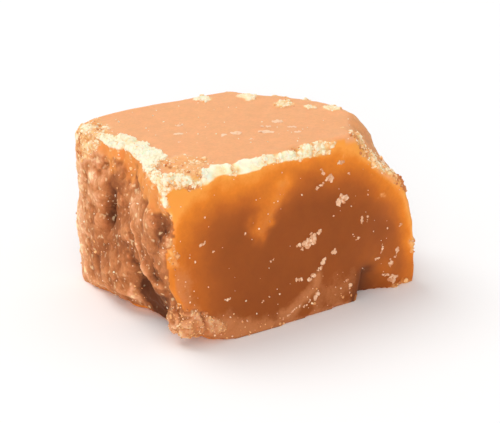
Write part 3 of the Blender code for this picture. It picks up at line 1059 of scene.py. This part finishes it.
# Flakes stuck to the block, in millimetres: x, then z or y, length, width, and turn in degrees.
FRONT_FLAKES = (
    (1.9, 9.5, 1.9, 1.6, 15),
    (3.2, 10.1, 1.1, 0.5, 35),
    (0.4, 9.2, 0.7, 0.6, 0),
    (1.0, 8.8, 0.6, 0.5, 0),
    (6.9, 13.4, 1.5, 1.2, 20),
    (4.5, 17.4, 0.9, 0.5, -45),
    (5.4, 16.3, 0.9, 0.8, 10),
    (4.0, 15.7, 1.2, 0.5, 25),
    (7.2, 17.9, 0.8, 0.7, 0),
    (8.3, 16.4, 0.5, 0.4, 0),
    (9.5, 10.4, 0.9, 0.5, 80),
    (10.3, 10.3, 0.7, 0.4, 80),
    (8.6, 8.1, 0.6, 0.5, 0),
    (5.2, 7.3, 0.7, 0.6, 0),
    (3.5, 6.2, 1.4, 0.6, 65),
    (2.7, 5.6, 0.5, 0.4, 30),
    (1.8, 4.9, 1.2, 0.7, 20),
    (0.1, 5.1, 0.8, 0.6, 0),
    (-3.5, 8.3, 0.7, 0.3, 30),
    (-6.8, 12.2, 0.45, 0.4, 0),
    (-12.5, 12.4, 0.9, 0.5, 10),
    (-11.3, 11.2, 0.7, 0.4, -20),
    (-9.8, 5.1, 0.45, 0.4, 0),
    (-5.3, 3.7, 0.45, 0.4, 0),
    (12.5, 5.9, 1.0, 0.4, 85),
    (15.4, 8.0, 0.8, 0.4, 70),
    (13.8, 3.6, 0.9, 0.6, 75),
    (14.2, 1.3, 1.4, 0.9, 10),
    (13.1, 2.0, 0.8, 0.5, 0),
    (14.8, 4.6, 1.2, 0.6, 60),
    (11.6, 4.6, 0.8, 0.5, 0),
    (6.9, 3.1, 0.7, 0.5, 10),
    (7.5, 2.2, 0.6, 0.6, 60),
    (2.4, 2.5, 1.2, 0.6, 50),
    (1.0, 1.9, 1.4, 0.4, 30),
    (-0.7, 1.6, 1.5, 0.4, 20),
    (-2.2, 1.0, 1.2, 0.4, 20),
)
TOP_FLAKES = (
    (-8.3, 1.8, 0.8, 0.7, 0),
    (-4.2, -1.6, 0.8, 0.6, 20),
    (-2.4, -1.8, 1.3, 0.8, -20),
    (-1.9, -4.3, 0.6, 0.5, 0),
    (0.7, -3.3, 1.4, 0.8, -30),
    (1.7, -1.8, 1.0, 0.6, -30),
    (3.7, -1.2, 1.3, 0.7, -20),
    (4.4, -3.5, 1.1, 0.5, -30),
    (4.2, -5.1, 0.8, 0.5, 0),
    (-6.6, 4.2, 0.7, 0.6, 0),
    (-9.6, -0.4, 0.5, 0.4, 0),
)
HIDDEN_FLAKES = 34  # on the back and on the right end together
CHIPS_FOR_AREA = 15.0  # chips in a square millimetre of flake
WIDEST_FLAKE_CHIP = 0.62  # in millimetres
# flakes on the top get a paler tint than those on the sides: painted top light
TOP_LIGHT_TINT, SIDE_TINT = 1.2, 0.45
OUTSIDE = 0.1  # metres from the block's middle, from where flakes are thrown at it


def hidden_flakes(count, width, rng):
    """Flakes strewn over a side that is as wide as given, in the lists' own form."""
    return [
        (
            rng.uniform(-0.5, 0.5) * width,
            rng.uniform(1.5, 18.0),
            rng.uniform(0.4, 1.4),
            rng.uniform(0.35, 0.7),
            rng.uniform(0, 90),
        )
        for _ in range(count)
    ]


def flake_chips(flakes, place, direction, tree, rng):
    """Chips that make up ragged flat flakes: their places, facings, sizes and tints."""
    found = []
    for across, up, long, wide, turn in flakes:
        count = max(2, round(CHIPS_FOR_AREA * long * wide))
        turn = math.radians(turn)
        for _ in range(count):
            along, aside = rng.uniform(-0.5, 0.5), 0.26 * rng.normal()
            aside *= wide * (1.0 - 1.4 * abs(along))
            along *= long
            first = across + along * math.cos(turn) - aside * math.sin(turn)
            second = up + along * math.sin(turn) + aside * math.cos(turn)
            hit, facing, _, _ = tree.ray_cast(place(first * MM, second * MM), direction)
            if hit is None:
                continue
            size = min(0.8 * wide, WIDEST_FLAKE_CHIP) * rng.uniform(0.5, 1.2) * MM
            # painted top light: flakes facing up are paler
            tint = TOP_LIGHT_TINT if facing.z > 0.6 else SIDE_TINT
            found.append((np.array(hit), np.array(facing), size, tint))
    return found


class JAGGERY_OT_flakes(bpy.types.Operator):
    """Stick thin flakes of sugar to the front, the top and the hidden sides"""

    bl_idname = "jaggery.flakes"
    bl_label = "Flakes"

    def execute(self, context):
        settings = context.scene.jaggery_crumbs
        rng = np.random.default_rng(37)
        body = body_object()
        tree = BVHTree.FromObject(body, context.evaluated_depsgraph_get())
        back = hidden_flakes(2 * HIDDEN_FLAKES // 3, 30.0, rng)
        right = hidden_flakes(HIDDEN_FLAKES // 3, 20.0, rng)
        sides = (
            (FRONT_FLAKES, lambda x, z: Vector((x, -OUTSIDE, z)), (0, 1, 0)),
            (TOP_FLAKES, lambda x, y: Vector((x, y, OUTSIDE)), (0, 0, -1)),
            (back, lambda x, z: Vector((x, OUTSIDE, z)), (0, -1, 0)),
            (right, lambda y, z: Vector((OUTSIDE, y, z)), (-1, 0, 0)),
        )
        chips = []
        for flakes, place, direction in sides:
            chips += flake_chips(flakes, place, Vector(direction), tree, rng)
        places, facing, sizes, tints = (np.array(column) for column in zip(*chips))
        forms = [chip_form(seed, 0.30) for seed in range(70, 75)]
        turns = [turned_to(f, rng.uniform(0, math.tau), 0.22 * rng.normal()) for f in facing]
        scales = sizes[:, None] * (1.0 + 0.4 * rng.uniform(-1, 1, (len(sizes), 3)))
        tints = tints + 0.22 * rng.normal(size=len(sizes))
        made = joined_copies("sugar_flakes", forms, places, turns, scales, tints, rng)
        shades = (settings.brown_flake, settings.pale_flake)
        finish_piece(made, crumb_material("flake_sugar", shades, 0.3))
        return {"FINISHED"}


class JAGGERY_OT_grains(bpy.types.Operator):
    """Scatter fine sugar grains over the block"""

    bl_idname = "jaggery.grains"
    bl_label = "Grains"

    def execute(self, context):
        settings = context.scene.jaggery_crumbs
        rng = np.random.default_rng(23)
        mesh = body_object().data
        forms = [chip_form(seed, 0.9, 1) for seed in range(40, 44)]
        crust, foot, smear, snapped = zones_of(mesh, "crust", "foot", "smear", "snapped")
        topside, rind = zones_of(mesh, "topside", "rind")
        weights = 0.03 + 0.8 * crust + 0.4 * foot + 0.15 * smear + 0.02 * snapped
        tint = 0.30 + 0.5 * topside + crust * (0.35 + 0.8 * rind)
        tint += 0.15 * snapped * (1.0 - foot)
        tint -= 0.25 * np.maximum(foot, smear)
        made = scattered(
            "sugar_grains",
            forms,
            mesh,
            weights,
            settings.grains,
            settings.grain_size,
            spread=0.35,
            sink=0.45,
            tint=tint,
            scale=np.ones(len(tint)),
            rng=rng,
        )
        shades = (settings.brown_flake, settings.pale_flake, settings.cream)
        finish_piece(made, crumb_material("grain_sugar", shades, 0.2))
        return {"FINISHED"}


# The stage

MIDDLE = Vector((0.0, 0.0, 0.01))  # where the lamps shine
AIM = Vector((-0.8 * MM, -2.15 * MM, 10.4 * MM))  # where the camera looks


def make_floor(settings):
    deselect_all()
    bpy.ops.mesh.primitive_plane_add(size=6.0, location=(0.0, 0.0, LOW.z))
    floor = bpy.context.active_object
    floor.name = "floor"
    material, _, shader = new_material("floor_paper")
    shader.inputs["Base Color"].default_value = opaque(settings.floor)
    shader.inputs["Roughness"].default_value = 0.9
    floor.data.materials.append(material)


def add_light(name, place, size, power):
    """A round lamp of the given size that shines on the block."""
    lamp = bpy.data.lights.new(name, "AREA")
    lamp.shape = "DISK"
    lamp.size = size
    lamp.energy = power
    made = bpy.data.objects.new(name, lamp)
    bpy.context.scene.collection.objects.link(made)
    made.location = place
    made.rotation_euler = (MIDDLE - Vector(place)).to_track_quat("-Z", "Y").to_euler()


def light_stage():
    add_light("key", (-0.25, 0.45, 0.86), 0.70, 4.6)
    add_light("front_fill", (-0.45, -0.75, 0.30), 0.60, 3.0)
    world = bpy.data.worlds.new("studio")
    bpy.context.scene.world = world
    world.use_nodes = True
    sky = world.node_tree.nodes["Background"]
    sky.inputs["Color"].default_value = (1.0, 1.0, 1.0, 1.0)
    sky.inputs["Strength"].default_value = 0.62


def make_camera(settings):
    data = bpy.data.cameras.new("camera")
    data.lens = settings.lens
    data.sensor_width = 36.0
    data.clip_start, data.clip_end = 0.01, 20.0
    camera = bpy.data.objects.new("camera", data)
    bpy.context.scene.collection.objects.link(camera)
    flat = math.cos(settings.elevation)
    x, y = math.sin(settings.azimuth) * flat, -math.cos(settings.azimuth) * flat
    back = Vector((x, y, math.sin(settings.elevation)))
    camera.location = AIM + back * settings.distance
    camera.rotation_euler = (-back).to_track_quat("-Z", "Y").to_euler()
    bpy.context.scene.camera = camera


class JAGGERY_OT_stage(bpy.types.Operator):
    """Set the floor, the lights and the camera round the block"""

    bl_idname = "jaggery.stage"
    bl_label = "Stage"

    def execute(self, context):
        settings = context.scene.jaggery_stage
        make_floor(settings)
        light_stage()
        make_camera(settings)
        context.scene.view_settings.view_transform = "Standard"
        return {"FINISHED"}


# The add-on


class JAGGERY_PT_panel(bpy.types.Panel):
    """The block's pieces, in the order in which they are made"""

    bl_label = "Jaggery Block"
    bl_idname = "JAGGERY_PT_panel"
    bl_space_type = "VIEW_3D"
    bl_region_type = "UI"
    bl_category = "Jaggery"

    def draw(self, context):
        for step in STEPS:
            self.layout.operator(step.bl_idname)


GROUPS = {
    "jaggery_body": JaggeryBodySettings,
    "jaggery_crumbs": JaggeryCrumbSettings,
    "jaggery_stage": JaggeryStageSettings,
}
STEPS = (
    JAGGERY_OT_body,
    JAGGERY_OT_crumbs,
    JAGGERY_OT_flakes,
    JAGGERY_OT_grains,
    JAGGERY_OT_stage,
)


def register():
    for name, group in GROUPS.items():
        bpy.utils.register_class(group)
        setattr(bpy.types.Scene, name, bpy.props.PointerProperty(type=group))
    for made in (*STEPS, JAGGERY_PT_panel):
        bpy.utils.register_class(made)


def unregister():
    for made in (JAGGERY_PT_panel, *reversed(STEPS)):
        bpy.utils.unregister_class(made)
    for name, group in reversed(GROUPS.items()):
        delattr(bpy.types.Scene, name)
        bpy.utils.unregister_class(group)


def write_sizes():
    bpy.context.view_layer.update()


def main():
    register()
    bpy.ops.jaggery.body()
    bpy.ops.jaggery.crumbs()
    bpy.ops.jaggery.flakes()
    bpy.ops.jaggery.grains()
    bpy.ops.jaggery.stage()
    write_sizes()


if __name__ == "__main__":
    main()
